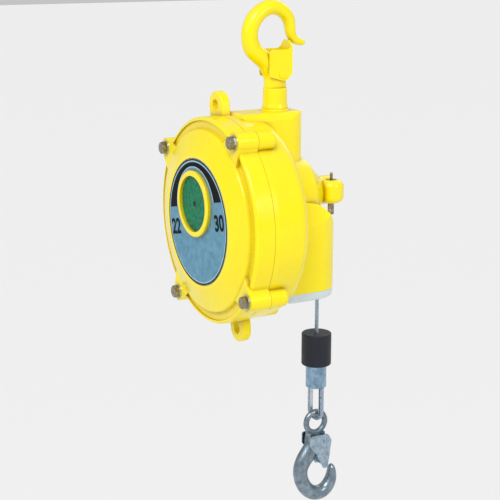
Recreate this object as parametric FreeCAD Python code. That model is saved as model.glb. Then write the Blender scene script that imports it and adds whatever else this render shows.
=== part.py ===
import FreeCAD, Part
import math
import os
from FreeCAD import Vector

# Spring balancer that hangs a hand tool of 22 to 30 kg on 1.5 m of wire rope.
# Millimetres. +Z is up, +Y runs from the dial at the front to the hub at the back.
# The part is drawn about the middle of the round spring case, with y = 0 at the face of the
# dial plate, and is then moved so that the origin is where the top hook hangs.

# ---- round spring case -------------------------------------------------------------------
case_turn = 9.5            # degrees that the round case is clocked, anticlockwise from the front
rim_radius = 118.4
rim_step = 4.9             # that the case narrows from its rim to its back
case_wall = 4.5
rim_front = 12.0
band_depth = 2.0           # of the flat band round the raised face
face_set_in = 14.4         # from the rim to the foot of the raised front face
face_edge = 8.5            # depth of the raised face at its foot
dial_radius = 72.0
dial_thickness = 1.2
cover_wall = 5.0
joint_plane = 34.0         # back of the front cover
gasket_thickness = 0.8
rim_length = 6.0           # of the rim that belongs to the rear housing
chamber_back = 79.0        # back of the spring chamber
case_back = 84.0           # outside of its back wall
back_round = 16.0
foot_boss_radius = 9.0
foot_boss_turn = -87.9     # from the clocked three o'clock of the case

# ---- bolted ears and safety lugs ---------------------------------------------------------
ear_reach = 3.6            # from the rim to the middle of a bolt
ear_radius = 11.5
ear_back_radius = 9.9
ear_front = 9.5
ear_length = 23.0          # of the bosses behind the joint
arm_root = 24.0            # half width of an ear's arm where it leaves the face
bolt_radius = 4.0
bolt_head_across = 13.0
bolt_head_height = 5.3
bolt_grip = 17.0           # thread in the rear housing
washer_radius = 8.3
washer_thickness = 1.6
clearance_hole = 4.5
upper_lug_reach = 11.6     # from the rim to the middle of the hole
lower_lug_reach = 7.8
lower_lug_turn = 273.5
lug_root = 24.0
lug_radius = 16.0
lug_hole_radius = 7.0
lug_front = 35.5
lug_thickness = 11.0
lug_edge_round = 2.0

# ---- arbor line: the shaft that the drum turns on ----------------------------------------
arbor_offset = 21.1        # above the middle of the case, along its clocked upright
ring_radius = 38.0
ring_width = 6.0
ring_height = 4.5
ring_round = 1.5
cap_recess = 3.5           # from the ring's face to the cap
cap_thickness = 3.2
cap_hole_radius = 3.2
front_hub_radius = 24.0
front_hub_length = 15.0
journal_radius = 10.0
spring_hub_radius = 16.0
shaft_radius = 11.0
bush_wall = 3.0
running = 0.05             # radial running clearance
seat_gap = 0.05            # radial gap of pieces that are pressed together

# ---- spring pan, mainspring and rope drum ------------------------------------------------
pan_clearance = 2.9        # between the pan and the spring chamber
pan_wall = 3.0
pan_screw_circle = 33.0
pan_front = 24.0
pan_back = 77.0
spring_coils = 8
spring_strip = 1.5
spring_width = 44.0
rope_radius = 2.38
rope_pitch = 5.4
rope_turns = 7
drum_small = 33.5          # radius of the rope's middle on the smallest turn
drum_taper = 0.386         # growth of that radius for each millimetre towards the front
drum_last_turn = 130.0     # depth of the smallest turn
groove_clearance = 0.22
flange_thickness = 3.5
bearing_radius = 17.0
bearing_width = 9.0

# ---- drum chamber, hub and worm barrel ---------------------------------------------------
chamber_front_radius = 58.4
chamber_rear_radius = 44.6
chamber_rear = 135.3
housing_wall = 4.5
hub_radius = 17.0
hub_end = 181.5
hub_cap_radius = 13.5
hub_cap_depth = 3.1
web_front = 137.0          # rear wall of the drum chamber
worm_x = 12.0
worm_y = 172.0
barrel_radius = 15.0
barrel_low = 8.0
barrel_high = 35.5
worm_radius = 6.0
worm_journal = 3.0
worm_pin_radius = 1.8
worm_pin_top = 44.0
worm_hex_across = 6.5
worm_hex_bottom = -6.0
wheel_teeth = 19
wheel_width = 8.0
tooth_gap = 0.75           # radius of the round gaps between the wheel's teeth

# ---- hanger block and top hook -----------------------------------------------------------
hook_y = 101.5
block_half_width = 25.0
block_front = 44.0
block_rear_reach = 31.5    # from the swivel to the round back of the block
block_top = 121.0
block_round = 9.0
block_foot = 30.0
nut_floor = 92.0           # the nut hangs below this
shank_radius = 9.0
shank_top = 150.0
collar_radius = 16.0
collar_height = 2.0
neck_radius = 14.0
foot_radius = 15.0
bar_half_width = 10.3      # of the hook's bar between the latch's cheeks
nut_across = 25.0
nut_height = 13.0
thrust_thickness = 2.0
sheet = 1.6                # latch sheet
latch_gap = 0.4
latch_pin_radius = 2.5
rivet_head = 1.2
pin_reach = sheet + 0.1    # of a latch's pin past the inside of its cheek
latch_front = 16.3         # these four and the heights below are measured from the latch's pin
latch_back = 13.4
latch_foot = 7.0
latch_cheek_top = 28.0
latch_shoulder = 30.7      # where the back narrows to its tongue
latch_tongue_top = 38.0
latch_tongue_half = 5.7
beyond = 25.0              # reach of cutting tools past a piece

# ---- rope tower and guide ----------------------------------------------------------------
tower_left = -5.5
tower_right = 60.5
tower_rear_middle = 127.0
tower_front = 80.0
tower_foot = -84.0
tower_wall = 4.5
tower_knee = 7.0           # from the middle of its round back to the knee of its roof
guide_height = 11.0
guide_spigot = 8.0
guide_inset = 0.6
guide_bore = 3.2
bell_radius = 12.0

# ---- rope end ----------------------------------------------------------------------------
rope_x = 31.5
rope_y = 142.0
buffer_top = -143.5
buffer_length = 39.0
buffer_radius = 17.8
ferrule_length = 28.5
ferrule_radius = 12.4
loop_turn = 16.0           # degrees between the loop's plane and the XZ plane
loop_leg = 29.5            # from the ferrule to the top of the hook's eye
loop_inside = 6.5          # half the width inside the thimble
thimble_sheet = 1.0
eye_ring_radius = 13.0
eye_bar_radius = 3.5
hook_seat_gap = 1.0
load_bar_half_width = 8.5
load_latch_pin_radius = 2.0
load_latch_front = 22.0    # these are measured from the latch's pin
load_latch_back = 8.0
load_latch_top = 9.0
load_latch_foot = 35.0
load_latch_foot_back = 3.0

body_radius = rim_radius - rim_step
case_bore_radius = body_radius - case_wall
face_radius = rim_radius - face_set_in
ear_circle = rim_radius + ear_reach
pan_radius = case_bore_radius - arbor_offset - pan_clearance
arbor_x = -arbor_offset * math.sin(math.radians(case_turn))
arbor_z = arbor_offset * math.cos(math.radians(case_turn))
ORIGIN = Vector(0, 0, 0)
ALONG_X = Vector(1, 0, 0)
ALONG_Y = Vector(0, 1, 0)
ALONG_Z = Vector(0, 0, 1)


# ---- drawing helpers ---------------------------------------------------------------------

def outline(corners):
    """Closed wire in the XY plane through corners (u, v) or (u, v, rounding radius)."""
    corners = [(*corner, 0)[:3] for corner in corners]
    count = len(corners)
    spans = []
    for i, (u, v, radius) in enumerate(corners):
        here = Vector(u, v, 0)
        back = (Vector(*corners[i - 1][:2], 0) - here).normalize()
        ahead = (Vector(*corners[(i + 1) % count][:2], 0) - here).normalize()
        if radius == 0:
            spans.append((here, None, here))
            continue
        half = back.getAngle(ahead) / 2
        reach = radius / math.tan(half)
        middle = here + (back + ahead).normalize() * (radius / math.sin(half) - radius)
        spans.append((here + back * reach, middle, here + ahead * reach))
    edges = []
    for i, (enter, middle, leave) in enumerate(spans):
        if middle is not None:
            edges.append(Part.Arc(enter, middle, leave).toShape())
        after = spans[(i + 1) % count][0]
        if leave.distanceToPoint(after) > 1e-6:
            edges.append(Part.LineSegment(leave, after).toShape())
    return Part.Wire(edges)


def in_xz(shape):
    """Stands a shape drawn in the XY plane up in the XZ plane."""
    shape.rotate(ORIGIN, ALONG_X, 90)
    return shape


def in_yz(shape):
    """Moves a shape drawn in the XY plane to the YZ plane."""
    shape.rotate(ORIGIN, Vector(1, 1, 1), 120)
    return shape


def prism_x(corners, low, high):
    face = in_yz(Part.Face(outline(corners)))
    face.translate(ALONG_X * low)
    return face.extrude(ALONG_X * (high - low))


def prism_y(corners, low, high):
    face = in_xz(Part.Face(outline(corners)))
    face.translate(ALONG_Y * low)
    return face.extrude(ALONG_Y * (high - low))


def prism_z(corners, low, high):
    face = Part.Face(outline(corners))
    face.translate(ALONG_Z * low)
    return face.extrude(ALONG_Z * (high - low))


def turned_y(corners, x=0.0, z=0.0):
    """Solid of revolution about a line along Y; corners are (radius, y)."""
    solid = Part.Face(outline(corners)).revolve(ORIGIN, ALONG_Y, 360)
    solid.translate(Vector(x, 0, z))
    return solid


def turned_z(corners, x=0.0, y=0.0):
    """Solid of revolution about a line along Z; corners are (radius, z)."""
    solid = in_xz(Part.Face(outline(corners))).revolve(ORIGIN, ALONG_Z, 360)
    solid.translate(Vector(x, y, 0))
    return solid


def rod_x(y, z, radius, low, high):
    return Part.makeCylinder(radius, high - low, Vector(low, y, z), ALONG_X)


def rod_y(x, z, radius, low, high):
    return Part.makeCylinder(radius, high - low, Vector(x, low, z), ALONG_Y)


def rod_z(x, y, radius, low, high):
    return Part.makeCylinder(radius, high - low, Vector(x, y, low), ALONG_Z)


def on_arbor(corners):
    return turned_y(corners, arbor_x, arbor_z)


def hexagon(across):
    """Corners of a hexagon of this size across its flats."""
    reach = across / math.sqrt(3)
    turns = [math.radians(60 * i) for i in range(6)]
    return [(reach * math.cos(turn), reach * math.sin(turn)) for turn in turns]


def clocked(shape, degrees=0.0):
    """Turns a shape drawn on the case's axis by the case's clocking and more."""
    copy = shape.copy()
    copy.rotate(ORIGIN, ALONG_Y, -(case_turn + degrees))
    return copy


def four_times(shape):
    """Copies a shape drawn at three o'clock to the four bolts of the case."""
    return [clocked(shape, 45 + 90 * i) for i in range(4)]


def joined(first, others):
    return first.fuse(others).removeSplitter()


def swept_forging(stations, x):
    """Forged bar in a YZ plane, lofted through stations.

    A station is (y, z, heading in degrees, half thickness in the plane, half thickness along X).
    """
    sections = []
    for y, z, heading, thick, wide in stations:
        across = Vector(0, -math.sin(math.radians(heading)), math.cos(math.radians(heading)))
        points = []
        for i in range(12):
            angle = math.radians(30 * i)
            reach = ALONG_X * (wide * math.cos(angle)) + across * (thick * math.sin(angle))
            points.append(Vector(x, y, z) + reach)
        curve = Part.BSplineCurve()
        curve.interpolate(Points=points, PeriodicFlag=True)
        sections.append(Part.Wire([curve.toShape()]))
    return Part.makeLoft(sections, True, False)


# ---- front cover and what is on it -------------------------------------------------------

def make_front_cover():
    inner_foot = rim_front + cover_wall
    shell = turned_y([
        (0, dial_thickness),
        (dial_radius + 1, dial_thickness),
        (dial_radius + 1, 0.2),
        (dial_radius + 5, 0.2, 2),
        (face_radius, face_edge, 3),
        (face_radius + 1.5, rim_front + band_depth, 1),
        (rim_radius - 4, rim_front + band_depth),
        (rim_radius - 4, rim_front),
        (rim_radius, rim_front, 3.5),
        (rim_radius, joint_plane),
        (case_bore_radius, joint_plane),
        (case_bore_radius, inner_foot, 4),
        (face_radius - 2, inner_foot - 2, 3),
        (dial_radius + 4, dial_thickness + cover_wall),
        (0, dial_thickness + cover_wall),
    ])
    arm = prism_y([
        (face_radius - 14, -arm_root),
        (ear_circle, -ear_radius),
        (ear_circle, ear_radius),
        (face_radius - 14, arm_root),
    ], ear_front, joint_plane)
    ear = rod_y(ear_circle, 0, ear_radius, ear_front, joint_plane)
    arms = four_times(arm.fuse(ear).cut(rod_y(0, 0, case_bore_radius, inner_foot, joint_plane)))
    back = dial_thickness + front_hub_length
    ring = on_arbor([
        (0, -ring_height),
        (ring_radius, -ring_height, ring_round),
        (ring_radius, back / 2),
        (0, back / 2),
    ])
    hub = rod_y(arbor_x, arbor_z, front_hub_radius, dial_thickness, back)
    cover = joined(shell, [*arms, ring, hub])
    cap_seat = -ring_height + cap_recess + cap_thickness
    inside = ring_radius - ring_width
    cover = cover.cut([
        rod_y(arbor_x, arbor_z, inside, -ring_height - 1, cap_seat),
        rod_y(arbor_x, arbor_z, journal_radius + bush_wall, cap_seat + 3, back + 1),
        *four_times(rod_y(ear_circle, 0, clearance_hole, 0, joint_plane + 1)),
        rod_y(arbor_x, arbor_z, 1.6, 0, cap_seat + 4),
    ])
    return cover


def make_gasket():
    ring = rod_y(0, 0, rim_radius, joint_plane, joint_plane + gasket_thickness)
    ears = four_times(rod_y(ear_circle, 0, ear_radius, joint_plane, joint_plane + gasket_thickness))
    holes = four_times(rod_y(ear_circle, 0, clearance_hole, joint_plane - 1, joint_plane + 2))
    return joined(ring, ears).cut([rod_y(0, 0, case_bore_radius, joint_plane - 1, joint_plane + 2), *holes])


def make_cover_bolts():
    under_head = ear_front - washer_thickness
    head = prism_y(hexagon(bolt_head_across), under_head - bolt_head_height, under_head)
    chamfer = turned_y([
        (0, under_head - bolt_head_height),
        (bolt_head_across / 2 * 0.95, under_head - bolt_head_height),
        (bolt_head_across / 2 * 1.2, under_head - bolt_head_height + 1.2),
        (bolt_head_across / 2 * 1.2, under_head),
        (0, under_head),
    ])
    shank = rod_y(0, 0, bolt_radius, under_head, joint_plane + gasket_thickness + bolt_grip)
    bolt = head.common(chamfer).fuse(shank)
    bolt.translate(ALONG_X * ear_circle)
    return four_times(bolt)


def make_cover_washers():
    ring = rod_y(ear_circle, 0, washer_radius, ear_front - washer_thickness, ear_front)
    hole = rod_y(ear_circle, 0, bolt_radius + 0.3, 0, ear_front + 1)
    return four_times(ring.cut(hole))


def make_dial_plate():
    plate = rod_y(0, 0, dial_radius, 0, dial_thickness)
    return plate.cut(rod_y(arbor_x, arbor_z, ring_radius + 0.3, -1, dial_thickness + 1))


def make_ring_cap():
    front = -ring_height + cap_recess
    radius = ring_radius - ring_width - 0.2
    back = front + cap_thickness
    cap = on_arbor([(0, front), (radius, front, 0.8), (radius, back), (0, back)])
    return cap.cut([
        rod_y(arbor_x, arbor_z, cap_hole_radius, front - 1, front + 1.4),
        rod_y(arbor_x, arbor_z, 1.7, front - 1, front + cap_thickness + 1),
    ])


def make_cap_screw():
    front = -ring_height + cap_recess
    head = rod_y(arbor_x, arbor_z, cap_hole_radius - 0.1, front + 0.5, front + 1.4)
    shank = rod_y(arbor_x, arbor_z, 1.55, front + 1.4, front + cap_thickness + 3)
    slot = prism_y([(-0.4, -4), (0.4, -4), (0.4, 4), (-0.4, 4)], front, front + 0.9)
    slot.translate(Vector(arbor_x, 0, arbor_z))
    return head.fuse(shank).cut(slot)


# ---- rear housing ------------------------------------------------------------------------

def chamber_radius(y):
    """Outside radius of the drum chamber, which tapers towards the hub."""
    share = (y - case_back) / (chamber_rear - case_back)
    return chamber_front_radius + (chamber_rear_radius - chamber_front_radius) * share


def tower_outline(inset):
    """Plan of the rope tower: flat sides and a half-round back."""
    radius = (tower_right - tower_left) / 2 - inset
    middle = (tower_left + tower_right) / 2
    rear = tower_rear_middle + radius
    front = tower_front + inset
    return [
        (middle - radius, front, 0),
        (middle + radius, front, 0),
        (middle + radius, rear, radius),
        (middle - radius, rear, radius),
    ]


def tower_solid(inset, top_drop, front):
    """The tower's block, or its hollow when it is inset and its top is lowered."""
    corners = tower_outline(inset)
    corners[0] = (corners[0][0], front, 0)
    corners[1] = (corners[1][0], front, 0)
    column = prism_z(corners, tower_foot, arbor_z + 14)
    rear = tower_rear_middle + (tower_right - tower_left) / 2 + 2
    side = prism_x([
        (front, tower_foot),
        (rear, tower_foot),
        (rear, -16 - top_drop, 16),
        (tower_rear_middle + tower_knee, 16 - top_drop, 22),
        (front, arbor_z + 6 - top_drop),
    ], tower_left, tower_right)
    shoulder = prism_y([
        (tower_left, tower_foot),
        (tower_right + 1, tower_foot),
        (tower_right + 1, -6 - top_drop, 20),
        (arbor_x + chamber_front_radius * 0.7, arbor_z + 20 - top_drop),
        (tower_left, arbor_z + 20 - top_drop),
    ], front, rear)
    return column.common(side).common(shoulder)


upper_lug_circle = rim_radius + upper_lug_reach
lower_lug_circle = rim_radius + lower_lug_reach


def make_lug(circle, turn):
    """Flat ear with a hole for a safety chain, its outer edges rounded."""
    lug = prism_y([
        (circle - lug_root, -lug_radius),
        (circle + lug_radius, -lug_radius, lug_radius),
        (circle + lug_radius, lug_radius, lug_radius),
        (circle - lug_root, lug_radius),
    ], lug_front, lug_front + lug_thickness)
    outer_edges = [edge for edge in lug.Edges if edge.BoundBox.XMax > circle]
    flat_edges = [edge for edge in outer_edges if edge.BoundBox.YLength < 0.01]
    return clocked(lug.makeFillet(lug_edge_round, flat_edges), turn)


def make_rear_housing():
    front = joint_plane + gasket_thickness
    shell = turned_y([
        (0, front),
        (rim_radius, front),
        (rim_radius, front + rim_length, 3),
        (body_radius, case_back, back_round),
        (0, case_back),
    ])
    chamber = on_arbor([
        (0, chamber_back - 4),
        (chamber_front_radius, chamber_back - 4),
        (chamber_front_radius, case_back),
        (chamber_rear_radius, chamber_rear, 6),
        (hub_radius, chamber_rear + chamber_rear_radius - hub_radius, 5),
        (hub_radius, hub_end, 3),
        (0, hub_end),
    ])
    boss = turned_y([
        (0, front),
        (ear_radius, front),
        (ear_back_radius, front + ear_length, 4),
        (0, front + ear_length),
    ], ear_circle)
    rear = hook_y + block_rear_reach
    block = prism_z([
        (-block_half_width, block_front, 8),
        (block_half_width, block_front, 8),
        (block_half_width, rear, block_half_width),
        (-block_half_width, rear, block_half_width),
    ], block_foot, block_top)
    block_side = prism_x([
        (block_front, block_foot),
        (rear, block_foot),
        (rear, block_top, block_round),
        (block_front, block_top, block_round),
    ], -block_half_width, block_half_width)
    block_end = prism_y([
        (-block_half_width, block_foot),
        (block_half_width, block_foot),
        (block_half_width, block_top, block_round),
        (-block_half_width, block_top, block_round),
    ], block_front, rear)
    barrel = turned_z([
        (0, barrel_low),
        (barrel_radius, barrel_low, 8),
        (barrel_radius, barrel_high, 8),
        (0, barrel_high),
    ], worm_x, worm_y)
    foot_boss = turned_y([
        (0, case_back - 30),
        (foot_boss_radius, case_back - 30),
        (foot_boss_radius, case_back + 8, 5),
        (0, case_back + 8),
    ], body_radius - case_wall)
    solid = joined(shell, [
        chamber,
        *four_times(boss),
        block.common(block_side).common(block_end),
        tower_solid(0, 0, tower_front),
        barrel,
        clocked(foot_boss, foot_boss_turn),
        make_lug(upper_lug_circle, 90),
        make_lug(lower_lug_circle, lower_lug_turn),
    ])
    drum_room = on_arbor([
        (0, chamber_back - 9),
        (chamber_front_radius - housing_wall, chamber_back - 9),
        (chamber_front_radius - housing_wall, case_back),
        (chamber_radius(web_front - 5) - housing_wall, web_front - 5),
        (chamber_rear_radius - housing_wall - 1.6, web_front),
        (0, web_front),
    ])
    spring_room = turned_y([
        (0, front - 1),
        (case_bore_radius, front - 1),
        (case_bore_radius, chamber_back, 9),
        (0, chamber_back),
    ])
    tower_room = tower_solid(tower_wall, 5, case_back + housing_wall)
    tower_room = tower_room.fuse(prism_z(tower_room_mouth(), tower_foot - 1, tower_foot + 1))
    return solid.cut([
        spring_room,
        drum_room,
        tower_room,
        rod_y(arbor_x, arbor_z, shaft_radius + bush_wall, web_front - 1, hub_end - 20),
        rod_y(arbor_x, arbor_z, 11.5, hub_end - 18, hub_end - 3),
        rod_y(arbor_x, arbor_z, hub_cap_radius, hub_end - hub_cap_depth, hub_end + 1),
        rod_y(arbor_x, arbor_z, 9, hub_end - 21, hub_end - 17),
        rod_z(worm_x, worm_y, worm_radius + 2, barrel_low + 4, barrel_high - 4),
        rod_z(worm_x, worm_y, worm_journal + running, barrel_low - 1, barrel_low + 5),
        rod_z(worm_x, worm_y, 6.5, barrel_high - 5, barrel_high + 1),
        rod_z(0, hook_y, 18, arbor_z, nut_floor),
        rod_z(0, hook_y, shank_radius + running, nut_floor - 1, block_top + 1),
        clocked(rod_y(upper_lug_circle, 0, lug_hole_radius, 0, case_back), 90),
        clocked(rod_y(lower_lug_circle, 0, lug_hole_radius, 0, case_back), lower_lug_turn),
        *four_times(rod_y(ear_circle, 0, bolt_radius + seat_gap, front - 1, front + bolt_grip + 2)),
    ])


def tower_room_mouth():
    corners = tower_outline(tower_wall)
    corners[0] = (corners[0][0], case_back + housing_wall, 0)
    corners[1] = (corners[1][0], case_back + housing_wall, 0)
    return corners


# ---- spring drive ------------------------------------------------------------------------

def make_arbor():
    return on_arbor([
        (0, dial_thickness + 4),
        (journal_radius, dial_thickness + 4, 1),
        (journal_radius, pan_front - 1),
        (spring_hub_radius, pan_front - 1),
        (spring_hub_radius, pan_back - 5),
        (shaft_radius, pan_back - 5),
        (shaft_radius, hub_end - 20.5),
        (7, hub_end - 20.5),
        (7, hub_end - 5, 1),
        (0, hub_end - 5),
    ])


def ring_on_arbor(inner, outer, low, high):
    return rod_y(arbor_x, arbor_z, outer, low, high).cut(rod_y(arbor_x, arbor_z, inner, low - 1, high + 1))


def make_arbor_bushes():
    front = ring_on_arbor(journal_radius + running, journal_radius + bush_wall - seat_gap,
                          dial_thickness + 5, dial_thickness + front_hub_length)
    rear = ring_on_arbor(shaft_radius + running, shaft_radius + bush_wall - seat_gap,
                         web_front + 1, hub_end - 20)
    return [front, rear]


def make_spring_pan():
    pan = on_arbor([
        (24, pan_back - 3),
        (pan_radius - pan_wall, pan_back - 3),
        (pan_radius - pan_wall, pan_front),
        (pan_radius, pan_front),
        (pan_radius, pan_back, 3),
        (24, pan_back),
    ])
    return pan.cut(screw_circle(2.6, pan_back - 4, pan_back + 1))


def screw_circle(radius, low, high):
    """Four rods on the circle that joins the spring pan to the rope drum."""
    reach = pan_screw_circle * math.sqrt(0.5)
    return [
        rod_y(arbor_x + side * reach, arbor_z + rise * reach, radius, low, high)
        for side in (1, -1)
        for rise in (1, -1)
    ]


def make_pan_screws():
    heads = screw_circle(4.2, pan_back - 3 - 2.6, pan_back - 3)
    shanks = screw_circle(2.45, pan_back - 3, pan_back + 3.5)
    return [head.fuse(shank) for head, shank in zip(heads, shanks)]


def make_mainspring():
    """Flat strip wound as half circles whose middles change sides, so that it spirals."""
    inner = spring_hub_radius + 1
    outer = pan_radius - pan_wall - 0.5 - spring_strip
    step = (outer - inner) / (2 * spring_coils)
    inside, outside = [], []
    for i in range(2 * spring_coils):
        side = 1 if i % 2 == 0 else -1
        middle = 0 if i % 2 == 0 else step
        for radius, edges in ((inner + i * step, inside), (inner + i * step + spring_strip, outside)):
            edges.append(Part.Arc(
                Vector(middle + side * radius, 0, 0),
                Vector(middle, side * radius, 0),
                Vector(middle - side * radius, 0, 0),
            ).toShape())
    ends = []
    for first, second, near in ((inside[0], outside[0], 0), (inside[-1], outside[-1], 1)):
        ends.append(Part.LineSegment(first.Vertexes[near].Point, second.Vertexes[near].Point).toShape())
    wire = Part.Wire(Part.__sortEdges__([*inside, ends[1], *outside, ends[0]]))
    strip = in_xz(Part.Face(wire))
    strip.translate(Vector(arbor_x, pan_front + 2, arbor_z))
    return strip.extrude(ALONG_Y * spring_width)


def rope_ring_radius(y):
    """Radius of the rope's middle on the tapered drum."""
    return drum_small + (drum_last_turn - y) * drum_taper


def turn_depths():
    return [drum_last_turn - rope_pitch * i for i in range(rope_turns)]


def make_rope_drum():
    """Tapered drum with one round groove for each turn of the rope."""
    bore = bearing_radius + seat_gap
    half = rope_pitch / 2
    low = turn_depths()[-1] - half
    high = drum_last_turn + half
    flange = rope_ring_radius(low) + 2
    small_flange = drum_small + 3.3
    points = [
        (bore, pan_back),
        (40, pan_back),
        (40, pan_back + 4),
        (26, pan_back + 4),
        (26, low - flange_thickness),
        (flange, low - flange_thickness),
        (flange, low),
        (rope_ring_radius(low), low),
    ]
    edges = [
        Part.LineSegment(Vector(*a, 0), Vector(*b, 0)).toShape()
        for a, b in zip(points, points[1:])
    ]
    for y in reversed(turn_depths()):
        start = Vector(rope_ring_radius(y - half), y - half, 0)
        bottom = Vector(rope_ring_radius(y) - rope_radius - groove_clearance, y, 0)
        end = Vector(rope_ring_radius(y + half), y + half, 0)
        edges.append(Part.Arc(start, bottom, end).toShape())
    points = [
        (rope_ring_radius(high), high),
        (small_flange, high),
        (small_flange, high + flange_thickness - 0.5),
        (bore, high + flange_thickness - 0.5),
        (bore, pan_back),
    ]
    edges += [
        Part.LineSegment(Vector(*a, 0), Vector(*b, 0)).toShape()
        for a, b in zip(points, points[1:])
    ]
    drum = Part.Face(Part.Wire(edges)).revolve(ORIGIN, ALONG_Y, 360)
    drum.translate(Vector(arbor_x, 0, arbor_z))
    return drum.cut(screw_circle(2.5, pan_back - 1, pan_back + 5))


def make_rope_winding():
    turns = []
    for y in turn_depths():
        turns.append(Part.makeTorus(rope_ring_radius(y), rope_radius, Vector(arbor_x, y, arbor_z), ALONG_Y))
    return turns


def make_drum_bearings():
    end = drum_last_turn + rope_pitch / 2 + flange_thickness - 0.5
    return [
        ring_on_arbor(shaft_radius + running, bearing_radius, pan_back + 1, pan_back + 1 + bearing_width),
        ring_on_arbor(shaft_radius + running, bearing_radius, end - bearing_width, end),
    ]


def make_worm_wheel():
    low = worm_y - wheel_width / 2
    radius = worm_x - arbor_x - worm_radius - 0.3
    wheel = ring_on_arbor(7 + seat_gap, radius, low, low + wheel_width)
    notches = []
    for i in range(wheel_teeth):
        turn = math.radians(360 / wheel_teeth * i)
        x = arbor_x + radius * math.cos(turn)
        z = arbor_z + radius * math.sin(turn)
        notches.append(rod_y(x, z, tooth_gap, low - 1, low + wheel_width + 1))
    return wheel.cut(notches)


def make_hub_cap():
    low = hub_end - hub_cap_depth
    high = hub_end - 0.6
    radius = hub_cap_radius - seat_gap
    return on_arbor([(0, low), (radius, low), (radius, high, 0.6), (0, high)])


def make_worm():
    """Worm with a plain pin above and a hexagon below for the spanner."""
    low = barrel_low + 4.3
    high = barrel_high - 5.2
    corners = [(0, barrel_low - 0.5), (worm_journal, barrel_low - 0.5), (worm_journal, low)]
    rings = 6
    step = (high - low) / rings
    for i in range(rings):
        bottom = low + i * step
        corners += [(worm_radius - 1, bottom), (worm_radius, bottom + step * 0.3)]
        corners += [(worm_radius, bottom + step * 0.7), (worm_radius - 1, bottom + step)]
    corners = [corner for i, corner in enumerate(corners) if corner not in corners[:i]]
    corners += [(worm_pin_radius, high), (worm_pin_radius, worm_pin_top, 1), (0, worm_pin_top)]
    worm = turned_z(corners, worm_x, worm_y)
    end = prism_z(hexagon(worm_hex_across), worm_hex_bottom, barrel_low - 0.5)
    end.translate(Vector(worm_x, worm_y, 0))
    return worm.fuse(end)


def make_worm_plug():
    plug = rod_z(worm_x, worm_y, 6.5 - seat_gap, barrel_high - 4.8, barrel_high - 0.5)
    return plug.cut(rod_z(worm_x, worm_y, worm_pin_radius + running, 0, barrel_high + 1))


# ---- top hook ----------------------------------------------------------------------------

def top_hook_stations():
    middle_line = [
        (0, shank_top - 16, 90, neck_radius - 3, bar_half_width - 1),
        (0, shank_top, 90, neck_radius - 0.5, bar_half_width),
        (-1, 158.5, 94, 13, bar_half_width),
        (-5, 168, 114, 12.3, bar_half_width),
        (-12.3, 177, 137, 10.8, 10.2),
        (-20, 182.7, 141, 10, 10),
        (-28.6, 190.5, 124, 10.2, 10),
        (-33.1, 203, 99, 9.5, 10),
        (-31, 218, 67, 9.3, 10),
        (-20, 231.8, 34, 9, 10),
        (-5, 237.3, 1, 8.6, 9.5),
        (8.5, 233, -38, 7.9, 9),
        (17.3, 222.5, -67, 6.9, 8.2),
        (19.6, 211, -80, 6.1, 7),
        (22.6, 203, -54, 5.5, 6),
        (29.5, 198.4, -20, 4.6, 4.9),
        (36.4, 196.7, -5, 3.2, 3.6),
        (38.9, 196.6, -5, 1.3, 1.5),
    ]
    return [(hook_y + y, z, turn, thick, wide) for y, z, turn, thick, wide in middle_line]


bowl_top = 228.4           # inside of the top hook, where it hangs
top_latch_pivot = (hook_y + 2.5, 162.5)
latch_inside = bar_half_width + latch_gap


def make_top_hook():
    bar = swept_forging(top_hook_stations(), 0)
    collar_top = block_top + collar_height
    shank = turned_z([
        (0, nut_floor - thrust_thickness - nut_height - 2),
        (shank_radius, nut_floor - thrust_thickness - nut_height - 2, 1),
        (shank_radius, collar_top),
        (foot_radius, collar_top),
        (foot_radius, collar_top + 2),
        (neck_radius, collar_top + 6, 6),
        (neck_radius, shank_top - 3, 1),
        (0, shank_top - 3),
    ], 0, hook_y)
    pin = rod_x(*top_latch_pivot, latch_pin_radius + running, -beyond, beyond)
    return joined(bar, [shank]).cut(pin)


def make_top_latch():
    """Folded sheet latch: two cheeks beside the hook's neck and a back that closes the mouth."""
    y, z = top_latch_pivot
    half = latch_inside + sheet
    front, back = y - latch_front, y + latch_back
    low, high = z - latch_foot, z + latch_tongue_top
    cheek = prism_x([
        (front, z - 2, 2),
        (y, low, latch_foot),
        (y + latch_back / 2, low, 4),
        (back, z + 1, 3),
        (back, high),
        (back - sheet, high),
        (back - sheet, z + latch_shoulder),
        (back - sheet - 4, z + latch_cheek_top, 2),
        (front, z + latch_cheek_top, 5),
    ], -half, half)
    front_view = prism_y([
        (-half, low),
        (half, low),
        (half, z + latch_shoulder, 2),
        (latch_tongue_half, high, 2),
        (-latch_tongue_half, high, 2),
        (-half, z + latch_shoulder, 2),
    ], front, back)
    gap = prism_x([
        (front - beyond, low - beyond),
        (back - sheet, low - beyond),
        (back - sheet, high + beyond),
        (front - beyond, high + beyond),
    ], -latch_inside, latch_inside)
    pin = rod_x(y, z, latch_pin_radius + running, -beyond, beyond)
    return cheek.common(front_view).cut([gap, pin])


def rivet(y, z, radius, half_length, x=0.0):
    """Pin along X with a flat round head at each end."""
    head = radius * 1.7
    left = x - half_length
    right = x + half_length
    body = rod_x(y, z, radius, left, right)
    return body.fuse([
        rod_x(y, z, head, left - rivet_head, left),
        rod_x(y, z, head, right, right + rivet_head),
    ])


def make_hook_nut():
    top = nut_floor - thrust_thickness
    nut = prism_z(hexagon(nut_across), top - nut_height, top)
    nut.translate(Vector(0, hook_y, 0))
    return nut.cut(rod_z(0, hook_y, shank_radius + seat_gap, 0, top + 1))


def make_thrust_washer():
    ring = rod_z(0, hook_y, 16, nut_floor - thrust_thickness, nut_floor)
    return ring.cut(rod_z(0, hook_y, shank_radius + seat_gap, 0, nut_floor + 1))


def make_hook_collar():
    ring = turned_z([
        (shank_radius + seat_gap, block_top),
        (collar_radius, block_top),
        (collar_radius, block_top + collar_height, 1),
        (shank_radius + seat_gap, block_top + collar_height),
    ], 0, hook_y)
    return ring


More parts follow.
